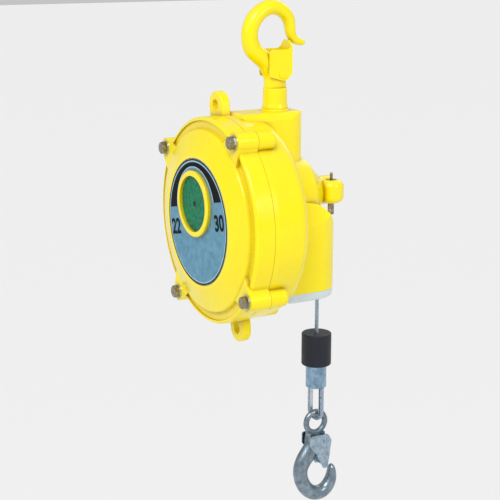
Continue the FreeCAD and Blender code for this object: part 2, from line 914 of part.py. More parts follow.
# ---- rope guide and rope end -------------------------------------------------------------

def make_rope_guide():
    """Bell-mouthed plastic guide that plugs the foot of the tower."""
    skirt_outline = tower_outline(guide_inset)
    skirt_outline[0] = (skirt_outline[0][0], case_back + 1.5, 6)
    skirt_outline[1] = (skirt_outline[1][0], case_back + 1.5, 6)
    skirt = prism_z(skirt_outline, tower_foot - guide_height, tower_foot)
    lower = [edge for edge in skirt.Edges if edge.BoundBox.ZMax < tower_foot - guide_height + 0.01]
    skirt = skirt.makeFillet(5.5, lower)
    spigot_outline = tower_outline(tower_wall + 0.3)
    spigot_outline[0] = (spigot_outline[0][0], case_back + housing_wall + 0.3, 0)
    spigot_outline[1] = (spigot_outline[1][0], case_back + housing_wall + 0.3, 0)
    spigot = prism_z(spigot_outline, tower_foot, tower_foot + guide_spigot)
    low = tower_foot - guide_height
    high = tower_foot + guide_spigot
    bell = turned_z([
        (0, low - 1),
        (guide_bore, low - 1),
        (guide_bore, low + 8, 9),
        (bell_radius, high + 0.5),
        (0, high + 0.5),
    ], rope_x, rope_y)
    holes = [rod_z(x, y, 2.1, low - 1, high + 1) for x, y in guide_screw_places()]
    sinks = [rod_z(x, y, 4.2, low - 1, low + 3) for x, y in guide_screw_places()]
    return joined(skirt, [spigot]).cut([bell, *holes, *sinks])


def guide_screw_places():
    return [(tower_left + 15, case_back + 16), (tower_right - 15, case_back + 16)]


def make_guide_screws():
    low = tower_foot - guide_height
    return [
        rod_z(x, y, 4, low + 0.6, low + 3).fuse(rod_z(x, y, 2, low + 3, tower_foot + guide_spigot - 1))
        for x, y in guide_screw_places()
    ]


def make_inner_rope():
    """The rope's run from the drum down to the guide, which it leaves upright."""
    top = Vector(arbor_x + drum_small, drum_last_turn + 0.5, arbor_z - 24)
    foot = Vector(rope_x, rope_y, tower_foot - guide_height)
    knee = Vector(rope_x, rope_y, tower_foot + guide_spigot)
    run = Part.BezierCurve()
    run.setPoles([top, knee, foot])
    circle = Part.Wire([Part.makeCircle(rope_radius, top, knee - top)])
    return Part.Wire([run.toShape()]).makePipeShell([circle], True, True)


def make_wire_rope():
    return rod_z(rope_x, rope_y, rope_radius, buffer_top, tower_foot - guide_height - 0.1)


def make_rope_buffer():
    low = buffer_top - buffer_length
    return turned_z([
        (rope_radius + seat_gap, low),
        (buffer_radius, low, 1.5),
        (buffer_radius, buffer_top, 1.5),
        (rope_radius + seat_gap, buffer_top),
    ], rope_x, rope_y)


def make_rope_ferrule():
    high = buffer_top - buffer_length
    low = high - ferrule_length
    corners = [(0, low), (ferrule_radius, low, 1.2), (ferrule_radius, high, 0.8), (0, high)]
    return turned_z(corners, rope_x, rope_y)


ferrule_foot = buffer_top - buffer_length - ferrule_length
eye_top = ferrule_foot - loop_leg
eye_middle = eye_top - eye_bar_radius - eye_ring_radius
loop_middle = eye_top - 2 * eye_bar_radius - hook_seat_gap + loop_inside


def loop_path(radius):
    """U of this radius below the ferrule, in the XZ plane."""
    top = ferrule_foot
    enter = Vector(-radius, 0, loop_middle)
    leave = Vector(radius, 0, loop_middle)
    left = Part.LineSegment(Vector(-radius, 0, top), enter).toShape()
    bend = Part.Arc(enter, Vector(0, 0, loop_middle - radius), leave)
    right = Part.LineSegment(leave, Vector(radius, 0, top)).toShape()
    return Part.Wire([left, bend.toShape(), right])


def placed_loop(shape):
    shape.rotate(ORIGIN, ALONG_Z, loop_turn)
    shape.translate(Vector(rope_x, rope_y, 0))
    return shape


def make_rope_loop():
    radius = loop_inside + thimble_sheet + rope_radius
    circle = Part.Wire([Part.makeCircle(rope_radius, Vector(-radius, 0, ferrule_foot), ALONG_Z)])
    return placed_loop(loop_path(radius).makePipeShell([circle], True, True))


def make_thimble():
    radius = loop_inside + thimble_sheet / 2 - 0.02
    half = thimble_sheet / 2 - 0.02
    face = Part.Wire(Part.makePolygon([
        Vector(-radius - half, -rope_radius, ferrule_foot - 2),
        Vector(-radius + half, -rope_radius, ferrule_foot - 2),
        Vector(-radius + half, rope_radius, ferrule_foot - 2),
        Vector(-radius - half, rope_radius, ferrule_foot - 2),
        Vector(-radius - half, -rope_radius, ferrule_foot - 2),
    ]))
    path = loop_path(radius)
    strip = path.makePipeShell([face], True, True)
    keep = Part.makeBox(60, 60, 60, Vector(-30, -30, ferrule_foot - 1.5 - 60))
    return placed_loop(strip.common(keep))


load_stations = [
    (0.5, -13, -90, 9, 6),
    (-2.5, -27, -100, 11.6, 8),
    (-12.3, -42, -123, 10.8, load_bar_half_width),
    (-20.5, -57.5, -96, 9.2, load_bar_half_width),
    (-18.3, -74, -66, 8.8, load_bar_half_width),
    (-9, -87.3, -35, 9, load_bar_half_width),
    (4, -93, 2, 9, load_bar_half_width),
    (16, -89, 40, 8.6, 8),
    (22.8, -78, 78, 7.2, 7.5),
    (24, -69, 92, 5.6, 6.3),
    (23.6, -62, 95, 3.6, 4.2),
    (23.4, -59.5, 95, 1.4, 1.6),
]
load_latch_pivot = (rope_y + 9, eye_middle - 23)
load_latch_inside = load_bar_half_width + latch_gap


def make_load_hook():
    stations = [(rope_y + y, eye_middle + z, turn, thick, wide) for y, z, turn, thick, wide in load_stations]
    bar = swept_forging(stations, rope_x)
    eye = Part.makeTorus(eye_ring_radius, eye_bar_radius, Vector(rope_x, rope_y, eye_middle), ALONG_X)
    hole = rod_x(rope_y, eye_middle, eye_ring_radius - eye_bar_radius, rope_x - 10, rope_x + 10)
    shoulder = prism_x([
        (rope_y - 10, eye_middle - 12),
        (rope_y + 10, eye_middle - 12),
        (rope_y + 11, eye_middle - 29, 4),
        (rope_y - 12, eye_middle - 29, 4),
    ], rope_x - 6, rope_x + 6)
    pin = rod_x(*load_latch_pivot, load_latch_pin_radius + running, rope_x - beyond, rope_x + beyond)
    return joined(bar.fuse(shoulder).cut(hole), [eye]).cut(pin)


def make_load_latch():
    """Folded sheet latch of the load hook, hinged at the shoulder and resting inside the tip."""
    y, z = load_latch_pivot
    inside = load_latch_inside
    front, back = y - load_latch_front, y + load_latch_back
    foot_back = y + load_latch_foot_back
    high, foot = z + load_latch_top, z - load_latch_foot
    cheek = prism_x([
        (front, high, 3),
        (y + load_latch_foot_back, high, 5),
        (back, z, 2),
        (foot_back, foot, 2),
        (foot_back - 6, foot, 2),
        (y - load_latch_front / 2, z - load_latch_foot / 2, 6),
        (front, z - 5, 4),
    ], rope_x - inside - sheet, rope_x + inside + sheet)
    gap = prism_x([
        (front - beyond, z + beyond),
        (back - sheet, z + beyond),
        (back - sheet, z),
        (foot_back - sheet, foot),
        (foot_back - sheet, foot - beyond),
        (front - beyond, foot - beyond),
    ], rope_x - inside, rope_x + inside)
    pin = rod_x(y, z, load_latch_pin_radius + running, rope_x - beyond, rope_x + beyond)
    return cheek.cut([gap, pin])


# ---- all the pieces ----------------------------------------------------------------------

pieces = {
    "front_cover": make_front_cover(),
    "cover_gasket": make_gasket(),
    "cover_bolts": make_cover_bolts(),
    "cover_washers": make_cover_washers(),
    "dial_plate": make_dial_plate(),
    "ring_cap": make_ring_cap(),
    "cap_screw": make_cap_screw(),
    "rear_housing": make_rear_housing(),
    "arbor": make_arbor(),
    "arbor_bushes": make_arbor_bushes(),
    "spring_pan": make_spring_pan(),
    "pan_screws": make_pan_screws(),
    "mainspring": make_mainspring(),
    "rope_drum": make_rope_drum(),
    "rope_winding": make_rope_winding(),
    "drum_bearings": make_drum_bearings(),
    "worm_wheel": make_worm_wheel(),
    "hub_cap": make_hub_cap(),
    "worm": make_worm(),
    "worm_plug": make_worm_plug(),
    "top_hook": make_top_hook(),
    "top_latch": make_top_latch(),
    "top_latch_pin": rivet(*top_latch_pivot, latch_pin_radius, latch_inside + pin_reach),
    "hook_nut": make_hook_nut(),
    "thrust_washer": make_thrust_washer(),
    "hook_collar": make_hook_collar(),
    "rope_guide": make_rope_guide(),
    "guide_screws": make_guide_screws(),
    "inner_rope": make_inner_rope(),
    "wire_rope": make_wire_rope(),
    "rope_buffer": make_rope_buffer(),
    "rope_ferrule": make_rope_ferrule(),
    "rope_loop": make_rope_loop(),
    "thimble": make_thimble(),
    "load_hook": make_load_hook(),
    "load_latch": make_load_latch(),
    "load_latch_pin": rivet(*load_latch_pivot, load_latch_pin_radius, load_latch_inside + pin_reach, rope_x),
}

os.makedirs("parts", exist_ok=True)
for name, shape in pieces.items():
    solids = shape if isinstance(shape, list) else [shape]
    solids = [solid for item in solids for solid in item.Solids]
    whole = Part.makeCompound(solids)
    whole.translate(Vector(0, -hook_y, -bowl_top))
    whole.exportStep(f"parts/{name}.step")
    print(name, len(solids), round(sum(solid.Volume for solid in solids) / 1000, 2), "cm3",
          all(solid.isValid() for solid in solids))
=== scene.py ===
# %% [markdown]
# # A spring balancer, dressed for its portrait
# The balancer is a round yellow case that hangs on a swivel hook and winds in a wire rope.
# Its solids come from a CAD model, so this lesson gives them light, paint, metal, rubber and
# print, and adds what is finer than the CAD: the rope's strands and the dial's print.
# The first cell loads the solids. Each one is an object at the origin, in metres.

# %% Load the frame
import math

import bmesh
import bpy
import numpy as np
from mathutils import Matrix, Vector


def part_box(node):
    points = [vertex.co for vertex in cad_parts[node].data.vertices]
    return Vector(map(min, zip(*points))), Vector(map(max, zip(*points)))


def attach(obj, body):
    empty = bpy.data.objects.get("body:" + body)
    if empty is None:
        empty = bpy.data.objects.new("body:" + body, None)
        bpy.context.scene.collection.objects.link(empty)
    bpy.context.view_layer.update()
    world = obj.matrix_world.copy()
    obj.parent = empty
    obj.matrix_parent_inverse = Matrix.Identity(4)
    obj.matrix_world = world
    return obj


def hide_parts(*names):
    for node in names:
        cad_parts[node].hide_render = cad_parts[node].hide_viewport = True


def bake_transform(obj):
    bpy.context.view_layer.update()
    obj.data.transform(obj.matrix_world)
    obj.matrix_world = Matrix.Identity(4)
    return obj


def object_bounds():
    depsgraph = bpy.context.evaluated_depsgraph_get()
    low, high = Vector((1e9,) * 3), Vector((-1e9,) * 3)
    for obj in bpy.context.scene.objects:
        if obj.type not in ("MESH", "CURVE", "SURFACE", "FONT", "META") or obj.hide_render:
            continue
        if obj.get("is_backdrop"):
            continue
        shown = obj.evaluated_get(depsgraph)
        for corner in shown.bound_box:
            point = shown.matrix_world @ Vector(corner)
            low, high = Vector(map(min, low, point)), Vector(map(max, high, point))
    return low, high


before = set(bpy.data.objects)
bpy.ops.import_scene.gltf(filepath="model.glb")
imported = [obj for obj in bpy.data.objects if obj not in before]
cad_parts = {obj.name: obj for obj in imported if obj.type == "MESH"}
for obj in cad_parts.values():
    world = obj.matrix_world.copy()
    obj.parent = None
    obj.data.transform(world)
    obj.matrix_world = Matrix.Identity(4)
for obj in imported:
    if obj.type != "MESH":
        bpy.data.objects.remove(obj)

cad_box = [list(corner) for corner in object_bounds()]

# %% [markdown]
# ## Where the eye stands
# The balancer is seen from its front right and a little from above. A long lens keeps the
# round case from looking stretched. The camera is placed with three plain vectors: where it
# is, which way is back to it, and which way is up.

# %% The camera
LENS_MM = 91.1
CAMERA_PLACE = Vector((1.2537, -0.7285, 0.0803))
AZIMUTH = math.radians(60.97)
ELEVATION = math.radians(13.69)
CAMERA_ROLL_UP = Vector((0.0, 0.0, 1.0))


def turned_to(back):
    """Rotation of a camera or lamp whose local Z points along back, with its local X level."""
    right = CAMERA_ROLL_UP.cross(back).normalized()
    up = back.cross(right)
    return Matrix((right, up, back)).transposed().to_quaternion()


camera_data = bpy.data.cameras.new("portrait_camera")
camera_data.lens = LENS_MM
camera = bpy.data.objects.new("portrait_camera", camera_data)
bpy.context.collection.objects.link(camera)
camera.location = CAMERA_PLACE
camera.rotation_mode = "QUATERNION"
camera_back = Vector((
    math.sin(AZIMUTH) * math.cos(ELEVATION),
    -math.cos(AZIMUTH) * math.cos(ELEVATION),
    math.sin(ELEVATION),
))
camera.rotation_quaternion = turned_to(camera_back)
bpy.context.scene.camera = camera
print("camera at", [round(value, 3) for value in CAMERA_PLACE])

# %% [markdown]
# ## A white studio
# Glossy paint shows what stands round it. A white world, a low soft sun for the window and
# three soft lamps give the yellow its glow and a few long highlights. One hard lamp would be
# simpler, but it gives small sharp highlights and black shadows. Colours are shown plainly,
# so that the yellow stays a strong yellow.

# %% Lamps, sun and world
LAMPS = {  # place seen from the balancer's middle, side in metres, watts
    "lamp_right": ((1.5, 0.5, 0.7), 0.35, 5.0),
    "lamp_front": ((0.3, -1.6, 0.9), 0.8, 3.0),
    "lamp_back": ((-0.9, 1.3, 0.9), 0.9, 3.0),
}
SUN_FROM = Vector((0.62, -0.62, 0.85))
SUN_STRENGTH = 1.75
SUN_WIDTH = math.radians(28.0)
WORLD_STRENGTH = 0.55
low, high = (Vector(corner) for corner in cad_box)
centre = (low + high) / 2


def soft_lamp(name, place, size, watts):
    """Square area lamp of this side length that looks at the middle of the balancer."""
    data = bpy.data.lights.new(name, "AREA")
    data.size = size
    data.energy = watts
    lamp = bpy.data.objects.new(name, data)
    lamp.location = centre + Vector(place)
    lamp.rotation_mode = "QUATERNION"
    lamp.rotation_quaternion = turned_to(Vector(place).normalized())
    bpy.context.collection.objects.link(lamp)


for lamp_name, (place, size, watts) in LAMPS.items():
    soft_lamp(lamp_name, place, size, watts)

sky_light = bpy.data.lights.new("big_soft_window", "SUN")
sky_light.energy = SUN_STRENGTH
sky_light.angle = SUN_WIDTH
window = bpy.data.objects.new("big_soft_window", sky_light)
window.rotation_mode = "QUATERNION"
window.rotation_quaternion = turned_to(SUN_FROM.normalized())
bpy.context.collection.objects.link(window)

world = bpy.data.worlds.new("white_studio")
world.use_nodes = True
background = world.node_tree.nodes["Background"]
background.inputs["Color"].default_value = (1.0, 1.0, 1.0, 1.0)
background.inputs["Strength"].default_value = WORLD_STRENGTH
bpy.context.scene.world = world
bpy.context.scene.view_settings.view_transform = "Standard"
print("lamps:", len(LAMPS), "and a sun")

# %% [markdown]
# ## The floor
# In a workshop the balancer hangs over a bench. Here a pale floor takes its place. It could
# stand close under the hook, but the rope can be drawn out by 1.5 m, so the floor lies
# deeper than that. It is very wide, so that its edge stays far away.

# %% The floor
FLOOR_DROP = 1.62  # the rope can be drawn out by 1.5 m
FLOOR_HALF = 45.0
floor_mesh = bpy.data.meshes.new("studio_floor")
floor_z = low.z - FLOOR_DROP
signs = ((-1, -1), (1, -1), (1, 1), (-1, 1))
corners = [(x * FLOOR_HALF, y * FLOOR_HALF, floor_z) for x, y in signs]
floor_mesh.from_pydata(corners, [], [(0, 1, 2, 3)])
floor = bpy.data.objects.new("studio_floor", floor_mesh)
bpy.context.collection.objects.link(floor)
floor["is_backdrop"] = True
print("floor at", round(floor_z, 3))

# %% [markdown]
# ## Small helpers for node trees
# Every finish is a node tree that starts from Object coordinates, so a pattern has its real
# size in metres and stays on its piece. Two helpers keep the trees short.

# %% Node helpers


def add_node(tree, kind, values=None, **settings):
    """Adds a node, sets its attributes and its unlinked sockets."""
    node = tree.nodes.new(kind)
    for key, value in settings.items():
        setattr(node, key, value)
    for key, value in (values or {}).items():
        node.inputs[key].default_value = value
    return node


def new_material(name, base, **sockets):
    """Material with a Principled BSDF whose constant values are set on its own sockets."""
    material = bpy.data.materials.new(name)
    material.use_nodes = True
    tree = material.node_tree
    shader = tree.nodes["Principled BSDF"]
    shader.inputs["Base Color"].default_value = (*base, 1.0)
    for key, value in sockets.items():
        shader.inputs[key.replace("_", " ").title().replace("Ior", "IOR")].default_value = value
    return material, tree, shader


def new_group(name, inputs, outputs):
    """Shader node group with float and colour sockets; returns its tree and its two ends."""
    group = bpy.data.node_groups.new(name, "ShaderNodeTree")
    kinds = {"color": "NodeSocketColor", "float": "NodeSocketFloat", "vector": "NodeSocketVector"}
    for socket, kind, value in inputs:
        item = group.interface.new_socket(socket, in_out="INPUT", socket_type=kinds[kind])
        if value is not None:
            item.default_value = value
    for socket, kind in outputs:
        group.interface.new_socket(socket, in_out="OUTPUT", socket_type=kinds[kind])
    entry = group.nodes.new("NodeGroupInput")
    leave = group.nodes.new("NodeGroupOutput")
    return group, entry, leave


print("node helpers ready")

# %% [markdown]
# ## Effects that several finishes share
# Four groups are built once, and put out only colours, masks and heights. The first is
# *mottle*. No real surface has quite the same colour everywhere: sprayed paint, rubber and
# plated steel drift a little over some millimetres or centimetres. An image could carry
# that, but noise on Object coordinates has its real size on every piece and needs no unwrap.

# %% Group: mottle
mottle, entry, leave = new_group(
    "mottle",
    [
        ("Color", "color", None), ("Darker", "color", None),
        ("Size", "float", 0.02), ("Amount", "float", 0.3),
    ],
    [("Color", "color"), ("Mask", "float")],
)
coordinates = add_node(mottle, "ShaderNodeTexCoord")
per_size = add_node(mottle, "ShaderNodeMath", {0: 1.0}, operation="DIVIDE")
mottle.links.new(entry.outputs["Size"], per_size.inputs[1])
cloud = add_node(mottle, "ShaderNodeTexNoise", {"Detail": 4.0, "Roughness": 0.55})
mottle.links.new(coordinates.outputs["Object"], cloud.inputs["Vector"])
mottle.links.new(per_size.outputs[0], cloud.inputs["Scale"])
spread = add_node(mottle, "ShaderNodeMapRange", {"From Min": 0.35, "From Max": 0.7})
mottle.links.new(cloud.outputs["Fac"], spread.inputs["Value"])
share = add_node(mottle, "ShaderNodeMath", operation="MULTIPLY")
mottle.links.new(spread.outputs[0], share.inputs[0])
mottle.links.new(entry.outputs["Amount"], share.inputs[1])
blend = add_node(mottle, "ShaderNodeMix", data_type="RGBA")
mottle.links.new(share.outputs[0], blend.inputs["Factor"])
mottle.links.new(entry.outputs["Color"], blend.inputs["A"])
mottle.links.new(entry.outputs["Darker"], blend.inputs["B"])
mottle.links.new(blend.outputs["Result"], leave.inputs["Color"])
mottle.links.new(spread.outputs[0], leave.inputs["Mask"])
print("group:", mottle.name)

# %% [markdown]
# *Skin* is the height of a fine pebbled surface, as a sand casting keeps under its paint.
# Modelling the pebbles would take millions of faces, so two noises, a short and a long one,
# are mixed, and each material bends its light with them.

# %% Group: skin
skin_group, entry, leave = new_group(
    "skin",
    [("Size", "float", 0.001), ("Long Size", "float", 0.008), ("Long Share", "float", 0.5)],
    [("Height", "float")],
)
coordinates = add_node(skin_group, "ShaderNodeTexCoord")
waves = []
for socket in ("Size", "Long Size"):
    rate = add_node(skin_group, "ShaderNodeMath", {0: 1.0}, operation="DIVIDE")
    skin_group.links.new(entry.outputs[socket], rate.inputs[1])
    wave = add_node(skin_group, "ShaderNodeTexNoise", {"Detail": 2.0})
    skin_group.links.new(coordinates.outputs["Object"], wave.inputs["Vector"])
    skin_group.links.new(rate.outputs[0], wave.inputs["Scale"])
    waves.append(wave)
both = add_node(skin_group, "ShaderNodeMix")
skin_group.links.new(entry.outputs["Long Share"], both.inputs["Factor"])
skin_group.links.new(waves[0].outputs["Fac"], both.inputs["A"])
skin_group.links.new(waves[1].outputs["Fac"], both.inputs["B"])
skin_group.links.new(both.outputs["Result"], leave.inputs["Height"])
print("group:", skin_group.name)

# %% [markdown]
# *Dust* settles on what faces up. The mask is the upward part of the normal, broken up by
# very fine specks. A particle system could strew it, but on a portrait it is only a tint.

# %% Group: dust
DUST_COLOUR = (0.72, 0.70, 0.62, 1.0)
SPECK_SCALE = 900.0
dust, entry, leave = new_group(
    "dust",
    [("Color", "color", None), ("Amount", "float", 0.2)],
    [("Color", "color")],
)
geometry = add_node(dust, "ShaderNodeNewGeometry")
parts = add_node(dust, "ShaderNodeSeparateXYZ")
dust.links.new(geometry.outputs["Normal"], parts.inputs[0])
upward = add_node(dust, "ShaderNodeMapRange", {"From Min": 0.25, "From Max": 1.0})
dust.links.new(parts.outputs["Z"], upward.inputs["Value"])
coordinates = add_node(dust, "ShaderNodeTexCoord")
specks = add_node(dust, "ShaderNodeTexNoise", {"Scale": SPECK_SCALE, "Detail": 3.0})
dust.links.new(coordinates.outputs["Object"], specks.inputs["Vector"])
settled = add_node(dust, "ShaderNodeMath", operation="MULTIPLY")
dust.links.new(upward.outputs[0], settled.inputs[0])
dust.links.new(specks.outputs["Fac"], settled.inputs[1])
amount = add_node(dust, "ShaderNodeMath", operation="MULTIPLY", use_clamp=True)
dust.links.new(settled.outputs[0], amount.inputs[0])
dust.links.new(entry.outputs["Amount"], amount.inputs[1])
cover = add_node(dust, "ShaderNodeMix", data_type="RGBA")
cover.inputs["B"].default_value = DUST_COLOUR
dust.links.new(amount.outputs[0], cover.inputs["Factor"])
dust.links.new(entry.outputs["Color"], cover.inputs["A"])
dust.links.new(cover.outputs["Result"], leave.inputs["Color"])
print("group:", dust.name)

# %% [markdown]
# *Crease* is painted shade: a brown that darkens the corners of a casting, where less light
# reaches. Painting it by hand would tie it to one shape. Ambient occlusion finds the
# corners by itself: where little open space is left within a few millimetres, the colour
# is multiplied by a brown.

# %% Group: crease shade, painted shade in corners
# brown multiplied into the colour as painted shade where ambient occlusion finds corners
CREASE_SHADE_TINT = (0.50, 0.36, 0.20, 1.0)
crease_shade, entry, leave = new_group(
    "crease_shade",
    [("Color", "color", None), ("Reach", "float", 0.008), ("Amount", "float", 0.5)],
    [("Color", "color")],
)
openness = add_node(crease_shade, "ShaderNodeAmbientOcclusion", samples=6)
crease_shade.links.new(entry.outputs["Reach"], openness.inputs["Distance"])
deep = add_node(crease_shade, "ShaderNodeMapRange", {"From Min": 0.92, "From Max": 0.45})
crease_shade.links.new(openness.outputs["AO"], deep.inputs["Value"])
shade_share = add_node(crease_shade, "ShaderNodeMath", operation="MULTIPLY", use_clamp=True)
crease_shade.links.new(deep.outputs[0], shade_share.inputs[0])
crease_shade.links.new(entry.outputs["Amount"], shade_share.inputs[1])
shadow = add_node(crease_shade, "ShaderNodeMix", data_type="RGBA", blend_type="MULTIPLY")
shadow.inputs["B"].default_value = CREASE_SHADE_TINT
crease_shade.links.new(shade_share.outputs[0], shadow.inputs["Factor"])
crease_shade.links.new(entry.outputs["Color"], shadow.inputs["A"])
crease_shade.links.new(shadow.outputs["Result"], leave.inputs["Color"])
print("group:", crease_shade.name)

# %% [markdown]
# ## One way to finish a surface
# Most finishes here are the same sentence with other numbers: a colour that mottles, a
# roughness that mottles with it, and a fine skin that bends the light. So one function
# wires the groups into a material, and each finish calls it with its own values.

# %% Finish a surface
LONG_WAVES = 8  # the skin's long waves are so many pebbles long
BUMP_STRENGTH = 0.6


def finished(name, base, darker, rough, grain, sizes, dusty=0.0, shade_in_creases=0.0, **sockets):
    """Material of a mottled, slightly uneven surface.

    rough is the low and high roughness, grain the skin's pebble size and depth in metres,
    and sizes the mottle's size in metres and its share. dusty is the share of dust and the
    crease share that of painted shade, which darkens the creases; the sockets are constants of the
    shader.
    """
    material, tree, shader = new_material(name, base, **sockets)
    patches = add_node(tree, "ShaderNodeGroup", node_tree=mottle)
    patches.inputs["Color"].default_value = (*base, 1.0)
    patches.inputs["Darker"].default_value = (*darker, 1.0)
    patches.inputs["Size"].default_value = sizes[0]
    patches.inputs["Amount"].default_value = sizes[1]
    colour = patches.outputs["Color"]
    # painted shade: the crease group darkens the colour in corners
    if shade_in_creases:
        crease_shading = add_node(tree, "ShaderNodeGroup", node_tree=crease_shade)
        crease_shading.inputs["Amount"].default_value = shade_in_creases
        tree.links.new(colour, crease_shading.inputs["Color"])
        colour = crease_shading.outputs["Color"]
    if dusty:
        layer = add_node(tree, "ShaderNodeGroup", node_tree=dust)
        layer.inputs["Amount"].default_value = dusty
        tree.links.new(colour, layer.inputs["Color"])
        colour = layer.outputs["Color"]
    tree.links.new(colour, shader.inputs["Base Color"])
    sheen = add_node(tree, "ShaderNodeMapRange", {"To Min": rough[0], "To Max": rough[1]})
    tree.links.new(patches.outputs["Mask"], sheen.inputs["Value"])
    tree.links.new(sheen.outputs[0], shader.inputs["Roughness"])
    pebbles = add_node(tree, "ShaderNodeGroup", node_tree=skin_group)
    pebbles.inputs["Size"].default_value = grain[0]
    pebbles.inputs["Long Size"].default_value = grain[0] * LONG_WAVES
    bump = add_node(tree, "ShaderNodeBump", {"Strength": BUMP_STRENGTH, "Distance": grain[1]})
    tree.links.new(pebbles.outputs["Height"], bump.inputs["Height"])
    tree.links.new(bump.outputs["Normal"], shader.inputs["Normal"])
    return material


print("finish function ready")

# %% [markdown]
# ## The paint
# A strong warm yellow under a clear gloss lies on three kinds of metal. On the sand casting
# the skin still shows as a faint unevenness, on the forged hook it is coarser, and the
# folded latch is almost smooth. One paint for all would be shorter, but the three would
# then look like one material.

# %% Paint
YELLOW = (0.950, 0.790, 0.000)
YELLOW_DEEP = (0.890, 0.690, 0.000)
# the casting paint darkens its corners with painted shade (crease share 0.9)
casting_paint = finished(
    "casting_paint", YELLOW, YELLOW_DEEP,
    rough=(0.22, 0.34), grain=(0.0012, 0.00022), sizes=(0.035, 0.45),
    dusty=0.04, shade_in_creases=0.9, coat_weight=0.3, coat_roughness=0.06, specular_ior_level=0.3,
)
# the forging paint darkens its corners with painted shade (crease share 0.8)
forging_paint = finished(
    "forging_paint", YELLOW, YELLOW_DEEP,
    rough=(0.20, 0.32), grain=(0.0020, 0.00035), sizes=(0.02, 0.5),
    dusty=0.04, shade_in_creases=0.8, coat_weight=0.3, coat_roughness=0.08, specular_ior_level=0.3,
)
sheet_paint = finished(
    "sheet_paint", YELLOW, YELLOW_DEEP,
    rough=(0.18, 0.26), grain=(0.0007, 0.00006), sizes=(0.015, 0.4),
    coat_weight=0.3, coat_roughness=0.06, specular_ior_level=0.3,
)
print("paints: 3")

# %% [markdown]
# ## The metals
# Bolts, washers, ferrule and latches are plated with zinc, which looks bluish and cloudy.
# The load hook is forged and tumbled grey steel. Inside the case are bronze bushes, a blued
# spring and a machined drum, which show only with the case taken away. A metal takes its
# colour from what it mirrors, so each differs mostly in roughness and in how its tint drifts.

# %% Metals
zinc = finished(
    "zinc_plate", (0.60, 0.64, 0.70), (0.42, 0.46, 0.52),
    rough=(0.22, 0.42), grain=(0.0005, 0.00003), sizes=(0.004, 0.8),
    metallic=1.0,
)
ferrule_zinc = finished(
    "ferrule_zinc", (0.32, 0.47, 0.60), (0.14, 0.24, 0.34),
    rough=(0.16, 0.32), grain=(0.0007, 0.00005), sizes=(0.006, 0.9),
    metallic=1.0,
)
dark_zinc = finished(
    "dark_zinc", (0.40, 0.35, 0.24), (0.14, 0.12, 0.08),
    rough=(0.18, 0.36), grain=(0.0005, 0.00004), sizes=(0.003, 0.9),
    metallic=1.0,
)
forged_grey = finished(
    "forged_grey", (0.270, 0.345, 0.400), (0.110, 0.150, 0.185),
    rough=(0.24, 0.42), grain=(0.0014, 0.00035), sizes=(0.008, 0.9),
    metallic=0.8,
)
bronze = finished(
    "sintered_bronze", (0.55, 0.40, 0.20), (0.38, 0.26, 0.12),
    rough=(0.35, 0.55), grain=(0.0003, 0.00003), sizes=(0.003, 0.7),
    metallic=1.0,
)
spring_blue = finished(
    "blued_spring", (0.10, 0.12, 0.17), (0.05, 0.05, 0.07),
    rough=(0.2, 0.4), grain=(0.0004, 0.00002), sizes=(0.006, 0.8),
    metallic=1.0,
)
alloy = finished(
    "machined_alloy", (0.66, 0.67, 0.68), (0.52, 0.53, 0.55),
    rough=(0.25, 0.4), grain=(0.0004, 0.00002), sizes=(0.006, 0.5),
    metallic=1.0,
)
rope_zinc = finished(
    "rope_wire_zinc", (0.52, 0.61, 0.70), (0.22, 0.29, 0.38),
    rough=(0.22, 0.42), grain=(0.0003, 0.00004), sizes=(0.002, 0.9),
    metallic=0.9,
)
latch_steel = finished(
    "latch_steel", (0.44, 0.54, 0.63), (0.22, 0.30, 0.38),
    rough=(0.18, 0.38), grain=(0.0006, 0.00004), sizes=(0.005, 0.9),
    metallic=1.0,
)
black_screw = finished(
    "black_screw", (0.006, 0.008, 0.008), (0.014, 0.016, 0.016),
    rough=(0.35, 0.5), grain=(0.0004, 0.00003), sizes=(0.003, 0.8),
    specular_ior_level=0.3,
)
print("metals: 10")

# %% [markdown]
# ## Rubber, plastics and print
# The buffer is matt black rubber with a little dust. The rope guide is milky nylon that lets
# some light in, which a plain white can't show, so it has some subsurface light. The cap
# is green with a speckle, the gasket was painted over with the case, and the dial is a blue
# grey plate with black and pale ink.

# %% Rubber, plastics and print
buffer_rubber = finished(
    "buffer_rubber", (0.008, 0.009, 0.016), (0.018, 0.020, 0.032),
    rough=(0.42, 0.6), grain=(0.0008, 0.00010), sizes=(0.012, 0.7),
    dusty=0.03, specular_ior_level=0.35,
)
painted_gasket = finished(
    "painted_gasket", (0.62, 0.46, 0.000), (0.40, 0.29, 0.000),
    rough=(0.5, 0.7), grain=(0.0005, 0.0001), sizes=(0.006, 0.6),
)
cap_green = finished(
    "cap_green", (0.000, 0.215, 0.098), (0.000, 0.100, 0.042),
    rough=(0.34, 0.5), grain=(0.0008, 0.00008), sizes=(0.004, 0.9),
    specular_ior_level=0.15,
)
guide_nylon = finished(
    "guide_nylon", (0.66, 0.74, 0.76), (0.52, 0.62, 0.65),
    rough=(0.32, 0.5), grain=(0.0010, 0.00006), sizes=(0.012, 0.5),
    subsurface_weight=0.35, subsurface_scale=0.004,
)
dial_plate = finished(
    "dial_plate", (0.075, 0.245, 0.370), (0.170, 0.370, 0.500),
    rough=(0.3, 0.45), grain=(0.0006, 0.00002), sizes=(0.007, 0.9),
    metallic=0.3, specular_ior_level=0.2,
)
dial_ink = finished(
    "dial_ink", (0.002, 0.003, 0.006), (0.004, 0.006, 0.010),
    rough=(0.5, 0.6), grain=(0.0006, 0.00002), sizes=(0.01, 0.6),
    specular_ior_level=0.08,
)
dial_pale = finished(
    "dial_pale", (0.48, 0.62, 0.70), (0.36, 0.52, 0.62),
    rough=(0.4, 0.5), grain=(0.0006, 0.00002), sizes=(0.01, 0.6),
    specular_ior_level=0.2,
)
